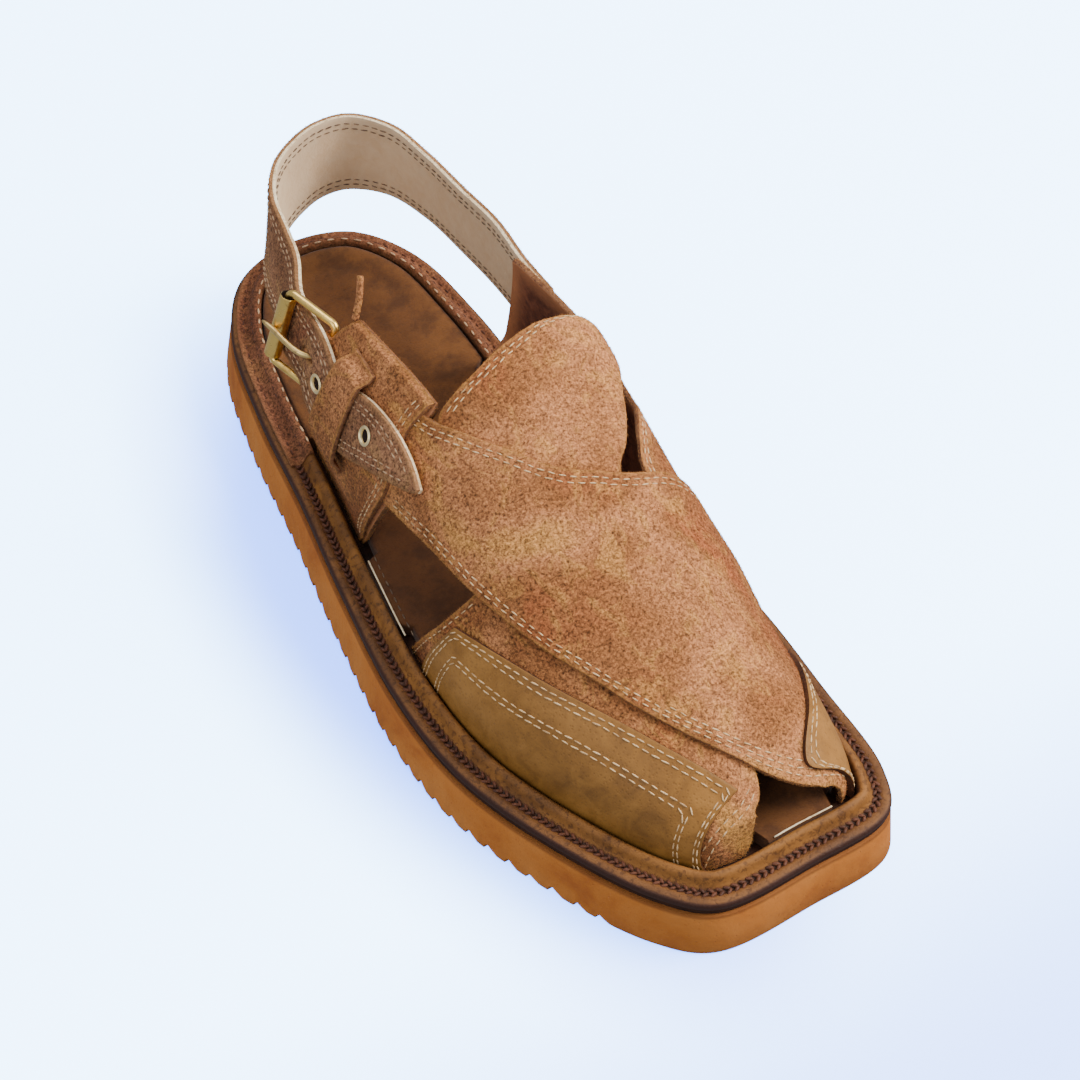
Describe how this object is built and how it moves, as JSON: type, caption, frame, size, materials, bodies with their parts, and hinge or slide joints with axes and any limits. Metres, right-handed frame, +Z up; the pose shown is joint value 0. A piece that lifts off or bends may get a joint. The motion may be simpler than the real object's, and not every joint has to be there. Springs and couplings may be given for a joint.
{
  "type": "kaptan chappal sandal",
  "caption": "Right-foot leather sandal: crossed vamp straps with a raised tongue, buckled heel strap, beaded welt and flat grooved rubber sole.",
  "frame": {"origin": "middle of the outsole's bottom face on the ground, centred on the sole's outline", "axes": "+Z up, toe towards -Y, heel towards +Y, the wearer's outer side and the buckle towards -X"},
  "size_m": [0.1144, 0.2914, 0.0981],
  "materials": {
    "sole_rubber": "matt, slightly porous, ribbed lower edge",
    "midsole_board": "dark edge-inked leather board",
    "welt_leather": "waxed, beaded, stitched",
    "suede": "napped suede with contrast stitching",
    "smooth_leather": "smooth, soft gloss",
    "footbed_nubuck": "worn nubuck",
    "lining_leather": "pale lining leather",
    "thread": "waxed sewing thread",
    "brass": "polished"
  },
  "bodies": {
    "root": {"outsole": "sole_rubber", "midsole": "midsole_board", "welt": "welt_leather", "heel_rand": "suede", "footbed": "footbed_nubuck", "upper": "suede", "overlay_outer": "smooth_leather", "overlay_inner": "smooth_leather", "heel_strap": "suede", "eyelet_1": "brass", "eyelet_2": "brass", "keeper": "suede", "buckle_frame": "brass", "buckle_roller": "brass", "buckle_prong": "brass", "fold_thong": "suede"}
  },
  "joints": []
}
